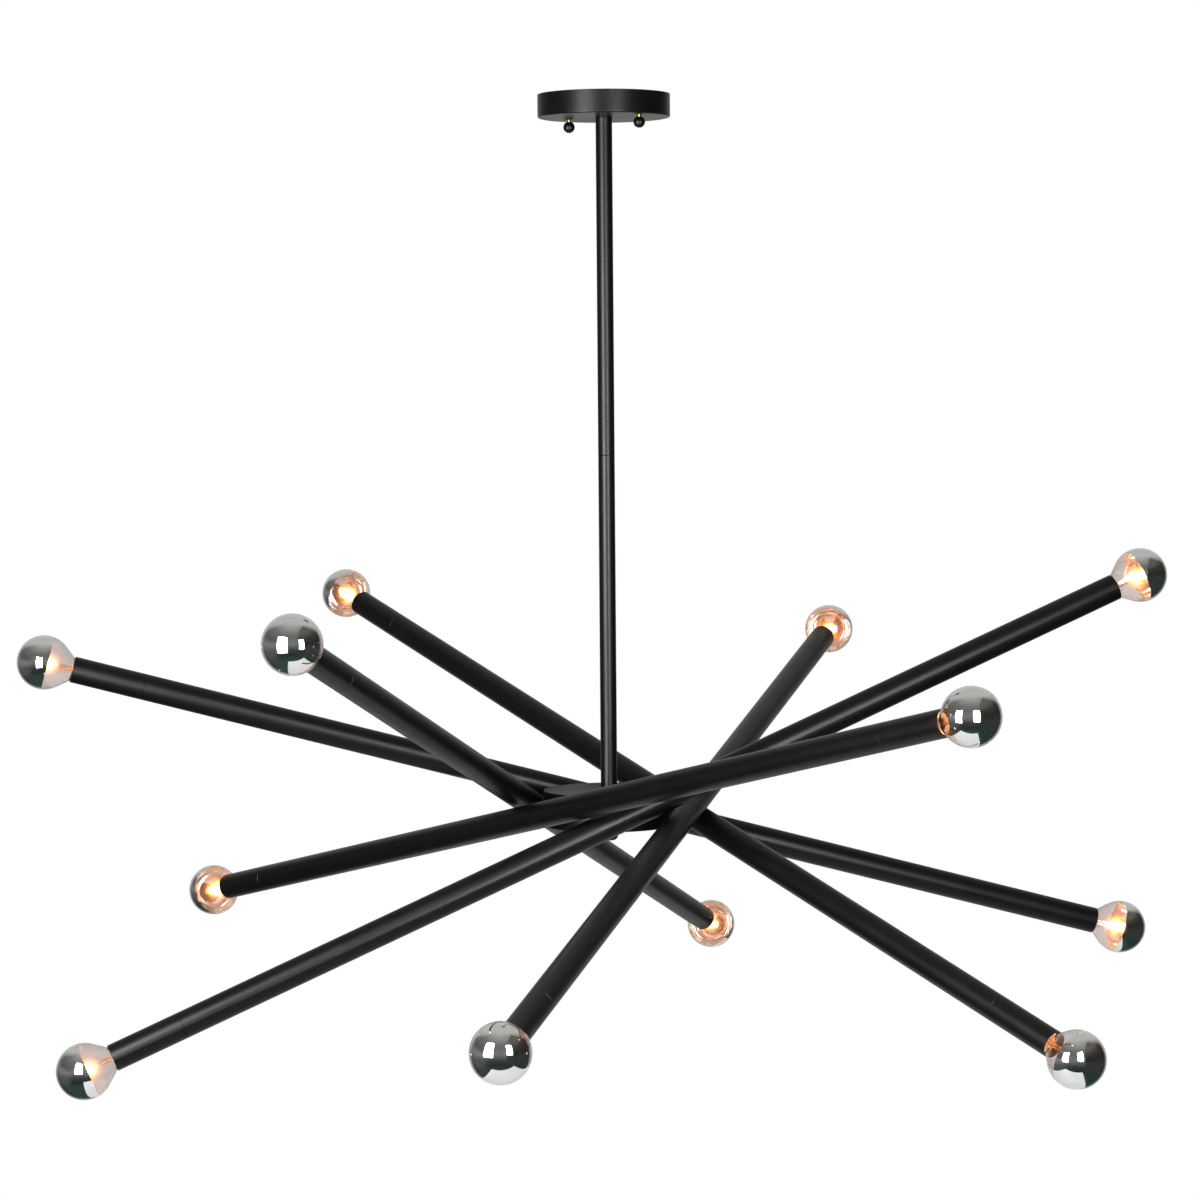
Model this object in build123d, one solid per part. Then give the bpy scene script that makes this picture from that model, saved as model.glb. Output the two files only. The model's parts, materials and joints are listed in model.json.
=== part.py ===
from build123d import *
import math
import os

# Ceiling light with a round canopy, a two-rod stem, a drum-shaped hub and six long tilted arms.
# The arms pass round the hub like a twisted bundle of sticks, with a lamp at both ends of each.
# Millimetres, +Z up. The origin is where the canopy's axis meets the ceiling, and X runs along
# the mounting strap.

# Canopy
CANOPY_DIAMETER = 127.0
CANOPY_DEPTH = 22.0
CANOPY_WALL = 1.2
CANOPY_EDGE_RADIUS = 1.6

# Mounting strap with the two screws that carry the canopy
STRAP_WIDTH = 20.0
STRAP_THICKNESS = 2.0
STRAP_CORNER_RADIUS = 4.0
STRAP_END_LAND = 8.0  # from a canopy screw out to the end of the strap
STRAP_WIRE_HOLE = 10.5
SCREW_INSET = 19.05  # from the canopy's edge in to a canopy screw
SCREW_DIAMETER = 4.0
SCREW_CHAMFER = 0.4
BURR_WALL = 1.5  # wall of the collar pressed out round each tapped hole
BURR_HEIGHT = 1.6
SLOT_INSET = 9.525  # from a canopy screw in to the middle of a slot
SLOT_WIDTH = 4.8
SLOT_LENGTH = 10.0

# Ball nuts under the canopy, backed off a little from its underside
BALL_DIAMETER = 11.1
BALL_TOP_CUT = 0.7  # height of the cap cut off to leave a flat round the screw
BALL_FLOOR = 2.0  # metal below the blind thread
BALL_GAP = 1.8  # bare screw between the canopy and the nut

# Stem of two equal rods, joined by short threaded nipples
STEM_DIAMETER = 15.9
STEM_WALL = 1.5
STEM_ROD_LENGTH = 322.8
STEM_CHAMFER = 0.3
NIPPLE_DIAMETER = 9.8
NIPPLE_BORE = 6.6
NIPPLE_ENGAGEMENT = 12.0
NIPPLE_SPARE = 3.0  # thread standing clear of a nut, or depth to spare in a tapped end
NUT_ACROSS_FLATS = 14.0
NUT_THICKNESS = 4.0

# Hub: a pressed drum open at the bottom, its cover, and the finial that clamps the cover
HUB_DIAMETER = 127.0
HUB_HEIGHT = 34.4
HUB_WALL = 1.5
HUB_EDGE_RADIUS = 1.0
COVER_THICKNESS = 2.0
COVER_LIP_HEIGHT = 3.0
COVER_LIP_WALL = 1.5
FINIAL_DIAMETER = 17.0
FINIAL_HEIGHT = 15.0
FINIAL_EDGE_RADIUS = 5.0
FINIAL_ENGAGEMENT = 9.0

# Arms. Each row holds one arm as it is set: degrees that it stands off its even place round the
# hub, and degrees that it is tilted. The first arm's place is given as a compass angle from +X.
FIRST_ARM_BEARING = -38.3
ARM_SETTINGS = [(1.1, 23.2), (1.1, 14.6), (0.4, 19.5), (-1.6, 15.1), (-1.9, 20.0), (1.2, 13.0)]
ARM_LENGTH = 1057.0
ARM_CLEARANCE = 0.8  # between neighbouring tubes where they cross
TUBE_DIAMETER = 25.4
TUBE_WALL = 1.2
SEAM_CHAMFER = 0.25
STUD_DIAMETER = 9.8
STUD_BORE = 6.6
STUD_SPARE = 2.0
STUD_NUT_ACROSS_FLATS = 14.0
STUD_NUT_THICKNESS = 4.0
COLLAR_DIAMETER = 18.0
COLLAR_LEAST_LENGTH = 4.0
WASHER_DIAMETER = 17.0
WASHER_THICKNESS = 1.6
WASHER_SLIT = 1.5

# End sleeves and lampholders
SLEEVE_LENGTH = 70.0
SPIGOT_LENGTH = 14.0
SPIGOT_WALL = 1.6
SPIGOT_LEDGE = 3.0
SOCKET_FLOOR = 13.0
SOCKET_WIRE_HOLE = 2.6
SOCKET_WIRE_DEPTH = 9.0
CONTACT_DIAMETER = 5.0
CONTACT_HEIGHT = 1.5

# Lamps: a glass globe drawn down to a neck, a screw cap, and a filament on two lead wires. The
# tapered glass fills the sleeve's mouth.
GLOBE_DIAMETER = 52.4
GLASS_WALL = 0.8
NECK_TAPER = 39.0  # degrees between the drawn-down glass and the lamp's axis
NECK_FLARE_RADIUS = 5.0
NECK_STRAIGHT = 0.7  # plain neck showing above the cap
NECK_IN_CAP = 6.0
CAP_DIAMETER = 11.9
CAP_WALL = 0.45
CAP_LENGTH = 18.5
CAP_SINK = 0.5  # from the lampholder's face in to the cap's rim
CAP_CONE_LENGTH = 3.5
CAP_TIP_DIAMETER = 5.2
CAP_TIP_LENGTH = 2.0
STEM_GLASS_DIAMETER = 4.2
STEM_GLASS_TOP = 14.0  # from the globe's centre back to the top of the glass stem
FLARE_THICKNESS = 1.0
LEAD_DIAMETER = 0.6
LEAD_SPACING = 2.0
LEAD_TAIL = 2.0
FILAMENT_SPAN = 10.0
FILAMENT_FOOT = 6.0  # from the globe's centre back to the filament's ends
FILAMENT_RISE = 2.4

# Clearances
THREAD_CLEARANCE = 0.05  # radial, in every threaded or pivoting hole
PASS_CLEARANCE = 0.3  # radial, in every plain hole that something passes through
SEAT_CLEARANCE = 0.3  # between pieces that move against each other
FIT_CLEARANCE = 0.1  # between fixed pieces that nest
MOUTH_CLEARANCE = 0.5  # radial, between a lamp's glass and the sleeve's mouth

# Places worked out from the sizes above
screw_x = CANOPY_DIAMETER / 2 - SCREW_INSET
slot_x = screw_x - SLOT_INSET
canopy_floor = -CANOPY_DEPTH + CANOPY_WALL
ball_top = -CANOPY_DEPTH - BALL_GAP
ball_bore_depth = BALL_DIAMETER - BALL_TOP_CUT - BALL_FLOOR
screw_length = CANOPY_DEPTH + ball_bore_depth
nipple_hole = NIPPLE_DIAMETER + 2 * THREAD_CLEARANCE
rod_seam_z = -CANOPY_DEPTH - STEM_ROD_LENGTH
hub_top = rod_seam_z - STEM_ROD_LENGTH
hub_bottom = hub_top - HUB_HEIGHT
arm_z = (hub_top + hub_bottom) / 2
hub_bore = HUB_DIAMETER - 2 * HUB_WALL
stud_hole = STUD_DIAMETER + 2 * THREAD_CLEARANCE
washer_face = math.sqrt((hub_bore / 2) ** 2 - (WASHER_DIAMETER / 2) ** 2) - FIT_CLEARANCE
stud_nut_face = washer_face - WASHER_THICKNESS
stud_end = stud_nut_face - STUD_NUT_THICKNESS - STUD_SPARE
tube_bore = TUBE_DIAMETER - 2 * TUBE_WALL
arm_seam = ARM_LENGTH / 2 - SLEEVE_LENGTH
spigot_diameter = tube_bore - 2 * FIT_CLEARANCE
neck_radius = CAP_DIAMETER / 2 - CAP_WALL - FIT_CLEARANCE
globe_radius = GLOBE_DIAMETER / 2
flare_x = neck_radius + NECK_FLARE_RADIUS


def on_taper(radius, stand_off=0):
    """Height at which a radius lies on a lamp's tapered glass, or so far outside it."""
    slope = math.radians(NECK_TAPER)
    return (radius * math.cos(slope) - globe_radius - stand_off) / math.sin(slope)


flare_z = on_taper(flare_x, NECK_FLARE_RADIUS)
cap_rim = flare_z - NECK_STRAIGHT
neck_end = cap_rim - NECK_IN_CAP
lamp_centre = ARM_LENGTH / 2 - on_taper(tube_bore / 2 - MOUTH_CLEARANCE)
socket_face = lamp_centre + cap_rim + CAP_SINK
socket_depth = CAP_SINK + CAP_LENGTH + SEAT_CLEARANCE + CONTACT_HEIGHT

UPWARDS = (Align.CENTER, Align.CENTER, Align.MIN)
DOWNWARDS = (Align.CENTER, Align.CENTER, Align.MAX)
INWARDS = Rot(0, -90, 0)  # turns a piece that stands on Z so that it points along -X
ENDS = {"upper": Rot(0, 0, 0), "lower": Rot(180, 0, 0)}


def rod(diameter, length):
    """Solid cylinder that stands on the XY plane."""
    return Cylinder(diameter / 2, length, align=UPWARDS)


def pipe(outer, inner, length):
    """Hollow cylinder that stands on the XY plane."""
    return rod(outer, length) - rod(inner, length)


def hex_nut(across_flats, bore, thickness):
    """Plain hexagon nut that stands on the XY plane."""
    blank = extrude(RegularPolygon(across_flats / 2, 6, major_radius=False), thickness)
    return blank - rod(bore, thickness)


def both_sides(piece, x):
    """Two copies of a piece, one each side of the middle, along X."""
    return [Pos(side * x, 0, 0) * piece for side in (-1, 1)]


def group(pieces):
    """Separate solids that share one node."""
    return Compound(children=[solid for piece in pieces for solid in piece.solids()])


def mounting_strap():
    """Crossbar against the ceiling: two slots for the box screws, two tapped collars."""
    length = 2 * (screw_x + STRAP_END_LAND)
    blank = extrude(RectangleRounded(length, STRAP_WIDTH, STRAP_CORNER_RADIUS), -STRAP_THICKNESS)
    thread_hole = SCREW_DIAMETER + 2 * THREAD_CLEARANCE
    collar = Pos(0, 0, -STRAP_THICKNESS - BURR_HEIGHT) * rod(thread_hole + 2 * BURR_WALL, BURR_HEIGHT)
    thread = Cylinder(thread_hole / 2, STRAP_THICKNESS + BURR_HEIGHT, align=DOWNWARDS)
    slot = extrude(SlotOverall(SLOT_LENGTH, SLOT_WIDTH), -STRAP_THICKNESS)
    wire_hole = Cylinder(STRAP_WIRE_HOLE / 2, STRAP_THICKNESS, align=DOWNWARDS)
    strap = blank + both_sides(collar, screw_x)
    return strap - both_sides(thread, screw_x) - both_sides(slot, slot_x) - wire_hole


def canopy():
    """Pressed cup, open towards the ceiling."""
    blank = Cylinder(CANOPY_DIAMETER / 2, CANOPY_DEPTH, align=DOWNWARDS)
    blank = fillet(blank.edges().group_by(Axis.Z)[0], CANOPY_EDGE_RADIUS)
    cup = offset(blank, -CANOPY_WALL, openings=blank.faces().sort_by(Axis.Z)[-1])
    screw_hole = Cylinder(SCREW_DIAMETER / 2 + PASS_CLEARANCE, CANOPY_DEPTH, align=DOWNWARDS)
    stem_hole = Cylinder(nipple_hole / 2, CANOPY_DEPTH, align=DOWNWARDS)
    return cup - both_sides(screw_hole, screw_x) - stem_hole


def canopy_screws():
    """Headless screws that hang from the strap's tapped collars."""
    screw = Cylinder(SCREW_DIAMETER / 2, screw_length, align=DOWNWARDS)
    return group(both_sides(chamfer(screw.edges().filter_by(GeomType.CIRCLE), SCREW_CHAMFER), screw_x))


def ball_nut():
    """Ball with a flat and a blind thread on top, under the middle of the canopy."""
    ball_centre = ball_top + BALL_TOP_CUT - BALL_DIAMETER / 2
    ball = Pos(0, 0, ball_centre) * Sphere(BALL_DIAMETER / 2)
    above = Pos(0, 0, ball_top) * rod(BALL_DIAMETER, BALL_DIAMETER)
    thread_radius = SCREW_DIAMETER / 2 + THREAD_CLEARANCE
    thread = Pos(0, 0, ball_top) * Cylinder(thread_radius, ball_bore_depth, align=DOWNWARDS)
    return ball - above - thread


def nipple(top, bottom):
    """Hollow threaded nipple on the stem's axis."""
    return Pos(0, 0, bottom) * pipe(NIPPLE_DIAMETER, NIPPLE_BORE, top - bottom)


def stem_lock_nuts():
    """One nut inside the canopy and one inside the hub clamp them to the stem's ends."""
    nut = hex_nut(NUT_ACROSS_FLATS, nipple_hole, NUT_THICKNESS)
    return group([Pos(0, 0, canopy_floor) * nut, Pos(0, 0, hub_top - HUB_WALL - NUT_THICKNESS) * nut])


def stem_rod():
    """One half of the stem, standing on the XY plane, with a tapped plug in each end."""
    plug = NIPPLE_ENGAGEMENT + NIPPLE_SPARE
    bar = chamfer(rod(STEM_DIAMETER, STEM_ROD_LENGTH).edges().filter_by(GeomType.CIRCLE), STEM_CHAMFER)
    hollow = Pos(0, 0, plug) * rod(STEM_DIAMETER - 2 * STEM_WALL, STEM_ROD_LENGTH - 2 * plug)
    return bar - hollow - rod(nipple_hole, STEM_ROD_LENGTH)


def hub_shell():
    """Drum with a flat top, open below, with a pivot hole for each arm in its wall."""
    blank = Cylinder(HUB_DIAMETER / 2, HUB_HEIGHT - COVER_THICKNESS, align=DOWNWARDS)
    blank = fillet(blank.edges().group_by(Axis.Z)[-1], HUB_EDGE_RADIUS)
    drum = offset(blank, -HUB_WALL, openings=blank.faces().sort_by(Axis.Z)[0])
    drum -= Cylinder(nipple_hole / 2, HUB_WALL, align=DOWNWARDS)
    drum = Pos(0, 0, hub_top) * drum
    for arm in range(len(ARM_SETTINGS)):
        drum -= stud_plane(arm) * rod(stud_hole, HUB_DIAMETER)
    return drum


def hub_bottom_cover():
    """Plate that closes the drum, with a lip that centres it in the drum's wall."""
    plate = rod(HUB_DIAMETER, COVER_THICKNESS)
    plate = fillet(plate.edges().group_by(Axis.Z)[0], HUB_EDGE_RADIUS)
    lip_outer = hub_bore - 2 * FIT_CLEARANCE
    lip = pipe(lip_outer, lip_outer - 2 * COVER_LIP_WALL, COVER_LIP_HEIGHT)
    cover = plate + Pos(0, 0, COVER_THICKNESS) * lip
    return Pos(0, 0, hub_bottom) * (cover - rod(nipple_hole, COVER_THICKNESS))


def finial():
    """Round knob that screws on the hub's nipple and holds the cover up."""
    knob = Cylinder(FINIAL_DIAMETER / 2, FINIAL_HEIGHT, align=DOWNWARDS)
    knob = fillet(knob.edges().group_by(Axis.Z)[0], FINIAL_EDGE_RADIUS)
    thread = Cylinder(nipple_hole / 2, FINIAL_ENGAGEMENT + SEAT_CLEARANCE, align=DOWNWARDS)
    return Pos(0, 0, hub_bottom) * (knob - thread)


def arm_bearing(arm):
    """Compass angle of an arm's pivot stud round the hub, in radians from +X."""
    even_place = FIRST_ARM_BEARING + arm * 360 / len(ARM_SETTINGS)
    return math.radians(even_place + ARM_SETTINGS[arm][0])


def stud_plane(arm):
    """Plane at the hub's centre whose Z points out along an arm's pivot stud."""
    bearing = arm_bearing(arm)
    outwards = (math.cos(bearing), math.sin(bearing), 0)
    return Plane((0, 0, arm_z), x_dir=(0, 0, 1), z_dir=outwards)


def arm_plane(arm, radius):
    """Plane at the middle of an arm: Z runs to its raised end, X points away from the hub."""
    bearing = arm_bearing(arm)
    tilt = math.radians(ARM_SETTINGS[arm][1])
    outwards = Vector(math.cos(bearing), math.sin(bearing), 0)
    sideways = Vector(-math.sin(bearing), math.cos(bearing), 0)
    along = sideways * math.cos(tilt) + Vector(0, 0, math.sin(tilt))
    return Plane(outwards * radius + Vector(0, 0, arm_z), x_dir=outwards, z_dir=along)


def crossing_distance(arm):
    """Distance from an arm's axis to the next arm's, for arms one unit from the hub's axis."""
    here = arm_plane(arm, 1)
    beyond = arm_plane((arm + 1) % len(ARM_SETTINGS), 1)
    across = here.z_dir.cross(beyond.z_dir).normalized()
    return abs((here.origin - beyond.origin).dot(across))


def arm_axis_radius():
    """Distance of the arms' axes from the stem: the tubes clear the hub and each other."""
    least_crossing = min(crossing_distance(arm) for arm in range(len(ARM_SETTINGS)))
    clear_of_each_other = (TUBE_DIAMETER + ARM_CLEARANCE) / least_crossing
    clear_of_hub = HUB_DIAMETER / 2 + COLLAR_LEAST_LENGTH + TUBE_DIAMETER / 2
    return max(clear_of_each_other, clear_of_hub)


arm_radius = arm_axis_radius()


def on_each_stud(piece):
    """One copy of a piece on every arm's pivot stud."""
    return [stud_plane(arm) * piece for arm in range(len(ARM_SETTINGS))]


def arm_collars():
    """Spacers between the drum and the tubes, hollowed to sit on the drum's round wall."""
    outer_end = arm_radius - TUBE_DIAMETER / 2 - SEAT_CLEARANCE
    drum = Pos(0, 0, arm_z) * Cylinder(HUB_DIAMETER / 2 + THREAD_CLEARANCE, HUB_HEIGHT)
    return group([blank - drum for blank in on_each_stud(pipe(COLLAR_DIAMETER, stud_hole, outer_end))])


def arm_spring_washers():
    """Split washers that keep each pivot stiff."""
    ring = pipe(WASHER_DIAMETER, STUD_DIAMETER + 2 * PASS_CLEARANCE, WASHER_THICKNESS)
    slit = Pos(WASHER_DIAMETER / 2, 0, 0) * Box(WASHER_DIAMETER, WASHER_SLIT, WASHER_THICKNESS, align=UPWARDS)
    return group(on_each_stud(Pos(0, 0, stud_nut_face) * (ring - slit)))


def arm_lock_nuts():
    """Nuts inside the hub that hold the arms' studs."""
    nut = hex_nut(STUD_NUT_ACROSS_FLATS, stud_hole, STUD_NUT_THICKNESS)
    return group(on_each_stud(Pos(0, 0, stud_nut_face - STUD_NUT_THICKNESS) * nut))


def arm_tube():
    """Tube along Z about its middle, with a hollow pivot stud welded on towards the hub."""
    length = 2 * arm_seam
    stud_length = arm_radius - stud_end
    tube = Cylinder(TUBE_DIAMETER / 2, length)
    tube = chamfer(tube.edges().filter_by(GeomType.CIRCLE), SEAM_CHAMFER)
    arm = tube + INWARDS * rod(STUD_DIAMETER, stud_length)
    return arm - Cylinder(tube_bore / 2, length) - INWARDS * rod(STUD_BORE, stud_length)


def end_sleeve():
    """Sleeve that carries on the tube to its mouth, with a spigot that plugs into the tube."""
    sleeve = rod(TUBE_DIAMETER, SLEEVE_LENGTH)
    sleeve = chamfer(sleeve.edges().filter_by(GeomType.CIRCLE), SEAM_CHAMFER)
    spigot = Cylinder(spigot_diameter / 2, SPIGOT_LENGTH, align=DOWNWARDS)
    bore = Pos(0, 0, SPIGOT_LEDGE) * rod(tube_bore, SLEEVE_LENGTH)
    wire_way = Pos(0, 0, -SPIGOT_LENGTH) * rod(spigot_diameter - 2 * SPIGOT_WALL, SLEEVE_LENGTH)
    return Pos(0, 0, arm_seam) * (sleeve + spigot - bore - wire_way)


def lamp_socket():
    """Lampholder inside a sleeve, with a well for the cap, a contact and two wire holes."""
    outer_radius = tube_bore / 2 - FIT_CLEARANCE
    well_radius = CAP_DIAMETER / 2 + SEAT_CLEARANCE
    length = socket_depth + SOCKET_FLOOR
    body = Cylinder(outer_radius, length, align=DOWNWARDS)
    body -= Cylinder(well_radius, socket_depth, align=DOWNWARDS)
    body += Pos(0, 0, -socket_depth) * rod(CONTACT_DIAMETER, CONTACT_HEIGHT)
    wire_hole = Pos(0, 0, -length) * rod(SOCKET_WIRE_HOLE, SOCKET_WIRE_DEPTH)
    return Pos(0, 0, socket_face) * (body - both_sides(wire_hole, outer_radius / 2))


def globe_outline(inset):
    """Half outline of the glass, from the tip of the globe to the end of the neck."""
    crown = CenterArc((0, 0), globe_radius - inset, 90, -NECK_TAPER - 90)
    flare = CenterArc((flare_x, flare_z), NECK_FLARE_RADIUS + inset, 180 - NECK_TAPER, NECK_TAPER)
    taper = Line(crown @ 1, flare @ 0)
    neck = Line(flare @ 1, (neck_radius - inset, neck_end))
    return [crown, taper, flare, neck]


def lamp_globe():
    """Glass globe about the origin, its neck down, with the stem that carries the leads."""
    tip = Line((0, globe_radius), (0, globe_radius - GLASS_WALL))
    rim = Line((neck_radius, neck_end), (neck_radius - GLASS_WALL, neck_end))
    outline = make_face(globe_outline(0) + globe_outline(GLASS_WALL) + [tip, rim])
    envelope = revolve(Plane.XZ * outline, Axis.Z)
    flare = Pos(0, 0, neck_end) * rod(2 * neck_radius - GLASS_WALL, FLARE_THICKNESS)
    stem = Pos(0, 0, neck_end) * rod(STEM_GLASS_DIAMETER, -STEM_GLASS_TOP - neck_end)
    lead_hole = Pos(0, 0, neck_end) * rod(LEAD_DIAMETER + 2 * THREAD_CLEARANCE, -neck_end)
    return envelope + flare + stem - both_sides(lead_hole, LEAD_SPACING / 2)


def lamp_leads():
    """Two lead wires through the glass stem, spread to carry the filament between them."""
    side = [
        (LEAD_SPACING / 2, neck_end - LEAD_TAIL),
        (LEAD_SPACING / 2, LEAD_TAIL - STEM_GLASS_TOP),
        (FILAMENT_SPAN / 2, -FILAMENT_FOOT),
    ]
    crest = (0, FILAMENT_RISE - FILAMENT_FOOT)
    mirrored = [(-x, z) for x, z in reversed(side)]
    route = Plane.XZ * Polyline(side + [crest] + mirrored)
    start = Plane(route @ 0, z_dir=route % 0)
    return sweep(start * Circle(LEAD_DIAMETER / 2), path=route, transition=Transition.RIGHT)


def lamp_cap():
    """Screw cap round the neck, closed by a cone and a contact tip."""
    radius = CAP_DIAMETER / 2
    tip_radius = CAP_TIP_DIAMETER / 2
    tip = cap_rim - CAP_LENGTH
    shoulder = tip + CAP_TIP_LENGTH
    cone = shoulder + CAP_CONE_LENGTH
    corners = [
        (radius - CAP_WALL, cap_rim),
        (radius, cap_rim),
        (radius, cone),
        (tip_radius, shoulder),
        (tip_radius, tip),
        (0, tip),
        (0, cone),
        (radius - CAP_WALL, cone),
    ]
    return revolve(Plane.XZ * make_face(Polyline(corners, close=True)), Axis.Z)


def lamp_base():
    """The cap with the leads that it feeds."""
    return group([lamp_cap(), lamp_leads()])


def fixed_pieces():
    """Everything that hangs still from the ceiling, by node."""
    rod_piece = stem_rod()
    canopy_nipple_top = canopy_floor + NUT_THICKNESS + NIPPLE_SPARE
    return {
        "mounting_strap": mounting_strap(),
        "canopy": canopy(),
        "canopy_screws": canopy_screws(),
        "canopy_nipple": nipple(canopy_nipple_top, -CANOPY_DEPTH - NIPPLE_ENGAGEMENT),
        "stem_lock_nuts": stem_lock_nuts(),
        "stem_upper_rod": Pos(0, 0, rod_seam_z) * rod_piece,
        "stem_coupling": nipple(rod_seam_z + NIPPLE_ENGAGEMENT, rod_seam_z - NIPPLE_ENGAGEMENT),
        "stem_lower_rod": Pos(0, 0, hub_top) * rod_piece,
        "hub_shell": hub_shell(),
        "hub_bottom_cover": hub_bottom_cover(),
        "hub_nipple": nipple(hub_top + NIPPLE_ENGAGEMENT, hub_bottom - FINIAL_ENGAGEMENT),
        "finial": finial(),
        "arm_collars": arm_collars(),
        "arm_spring_washers": arm_spring_washers(),
        "arm_lock_nuts": arm_lock_nuts(),
    }


def ball_nut_pieces():
    """The two nuts that hold the canopy up, by node."""
    left, right = both_sides(ball_nut(), screw_x)
    return {"ball_nut_left": left, "ball_nut_right": right}


def arm_pieces():
    """Every arm with its sleeves, lampholders and lamps, by node."""
    tube, sleeve, socket = arm_tube(), end_sleeve(), lamp_socket()
    globe = Pos(0, 0, lamp_centre) * lamp_globe()
    base = Pos(0, 0, lamp_centre) * lamp_base()
    pieces = {}
    for arm in range(len(ARM_SETTINGS)):
        place = arm_plane(arm, arm_radius)
        number = arm + 1
        pieces[f"arm_{number}_tube"] = place * tube
        pieces[f"arm_{number}_end_sleeves"] = group([place * turn * sleeve for turn in ENDS.values()])
        pieces[f"arm_{number}_sockets"] = group([place * turn * socket for turn in ENDS.values()])
        for end, turn in ENDS.items():
            pieces[f"lamp_{number}_{end}_globe"] = place * turn * globe
            pieces[f"lamp_{number}_{end}_base"] = place * turn * base
    return pieces


os.makedirs("parts", exist_ok=True)
for name, piece in (fixed_pieces() | ball_nut_pieces() | arm_pieces()).items():
    export_step(piece, f"parts/{name}.step")
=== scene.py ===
import json
import math

import bmesh
import bpy
from mathutils import Matrix, Vector


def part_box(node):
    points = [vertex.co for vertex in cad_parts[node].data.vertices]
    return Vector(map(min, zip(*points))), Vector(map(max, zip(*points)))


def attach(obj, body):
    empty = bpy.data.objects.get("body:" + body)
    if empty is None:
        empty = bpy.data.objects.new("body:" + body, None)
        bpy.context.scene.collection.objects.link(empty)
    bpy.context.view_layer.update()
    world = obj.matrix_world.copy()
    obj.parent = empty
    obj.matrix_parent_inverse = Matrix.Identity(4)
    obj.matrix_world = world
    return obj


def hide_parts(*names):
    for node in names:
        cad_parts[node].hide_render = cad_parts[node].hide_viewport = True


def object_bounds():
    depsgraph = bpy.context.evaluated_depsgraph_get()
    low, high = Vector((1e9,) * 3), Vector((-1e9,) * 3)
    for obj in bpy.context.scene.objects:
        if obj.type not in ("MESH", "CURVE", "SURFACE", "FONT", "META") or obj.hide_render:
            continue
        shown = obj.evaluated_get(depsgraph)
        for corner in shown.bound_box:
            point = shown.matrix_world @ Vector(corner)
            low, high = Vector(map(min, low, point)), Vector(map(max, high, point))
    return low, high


# Looks of a black ceiling light with twelve half-silvered globe lamps, all lit. Metres, +Z up, in the
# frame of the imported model.

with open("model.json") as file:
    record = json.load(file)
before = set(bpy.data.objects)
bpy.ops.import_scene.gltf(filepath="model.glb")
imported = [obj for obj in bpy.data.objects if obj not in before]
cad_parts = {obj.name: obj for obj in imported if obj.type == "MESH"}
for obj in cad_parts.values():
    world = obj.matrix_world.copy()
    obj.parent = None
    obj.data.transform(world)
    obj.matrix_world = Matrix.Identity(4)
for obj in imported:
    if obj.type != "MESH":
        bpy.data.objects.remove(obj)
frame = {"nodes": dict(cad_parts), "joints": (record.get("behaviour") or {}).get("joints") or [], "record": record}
cad_low, cad_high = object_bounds()
MM = 0.001
nodes = frame["nodes"]

# Camera
CAMERA_PLACE = Vector((2.2176, -2.5622, -0.2991))
CAMERA_AZIMUTH = math.radians(41.0)
CAMERA_PITCH = math.radians(-3.127)
CAMERA_ROLL = math.radians(-0.46)
FOCAL_LENGTH_MM = 105.6
SENSOR_WIDTH_MM = 36.0
UP = Vector((0, 0, 1))
NEAR = Vector((math.sin(CAMERA_AZIMUTH), -math.cos(CAMERA_AZIMUTH), 0.0))  # level, towards the camera
RIGHT = UP.cross(NEAR)  # level, to the camera's right

# Stage
ROOM_HEIGHT = 2.4
FLOOR_SIDES = (-1.2, 1.2)  # from the object's axis to the camera's right
FLOOR_ENDS = (-2.2, 1.55)  # from the axis towards the camera
FLOOR_FADE = (0.8, 1.2)  # distances from the middle between which the camera sees the floor fade out
CARD_DROP = 1.4  # from the ceiling to a pale card that only reflections show
CARD_SIDES = (-0.45, 0.60)
CARD_ENDS = (-1.2, 0.95)
FILL = (0.80, 0.80, 0.80)  # what the surroundings light the object with

# The studio as metal shows it. Colours run from straight down (0) to straight up (1)
STUDIO_AHEAD = [  # the photographer's side
    (0.10, (0.033, 0.058, 0.042)), (0.21, (0.018, 0.026, 0.026)), (0.36, (0.045, 0.050, 0.060)),
    (0.46, (0.11, 0.12, 0.135)), (0.55, (0.18, 0.18, 0.18)), (0.78, (0.135, 0.135, 0.13)),
    (0.86, (0.19, 0.19, 0.19)), (0.95, (0.30, 0.30, 0.29)), (1.00, (0.43, 0.43, 0.42)),
]
STUDIO_LEFT = [
    (0.00, (0.060, 0.075, 0.060)), (0.36, (0.09, 0.095, 0.10)), (0.50, (0.21, 0.21, 0.23)),
    (0.62, (0.09, 0.09, 0.09)), (0.80, (0.16, 0.15, 0.14)),
]
STUDIO_RIGHT = [
    (0.10, (0.020, 0.040, 0.030)), (0.40, (0.035, 0.035, 0.040)), (0.55, (0.022, 0.021, 0.020)),
    (0.70, (0.042, 0.038, 0.033)), (0.82, (0.12, 0.11, 0.09)),
]
# How far a direction points to the camera's right, where the left side passes into the middle
LEFT_FADE = (-0.9, -0.6)
RIGHT_EDGE = 0.40  # where the right side starts
CEILING_SLANT = 0.54  # high up it starts later: at this much of how far the direction points up
RIGHT_FADE = 0.05
CEILING = (0.50, 0.50, 0.48)  # pale ceiling, from above the object to behind it
CEILING_SPREAD = 1.2  # how much pointing up counts there, beside 1 for pointing away from the camera
CEILING_FADE = (0.98, 1.28)  # sums of both between which the ceiling comes in
BACKDROP = (0.62, 0.62, 0.61)
BACKDROP_EDGE = (-0.92, -0.62)  # it fills the directions that point this much away from the camera

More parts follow.
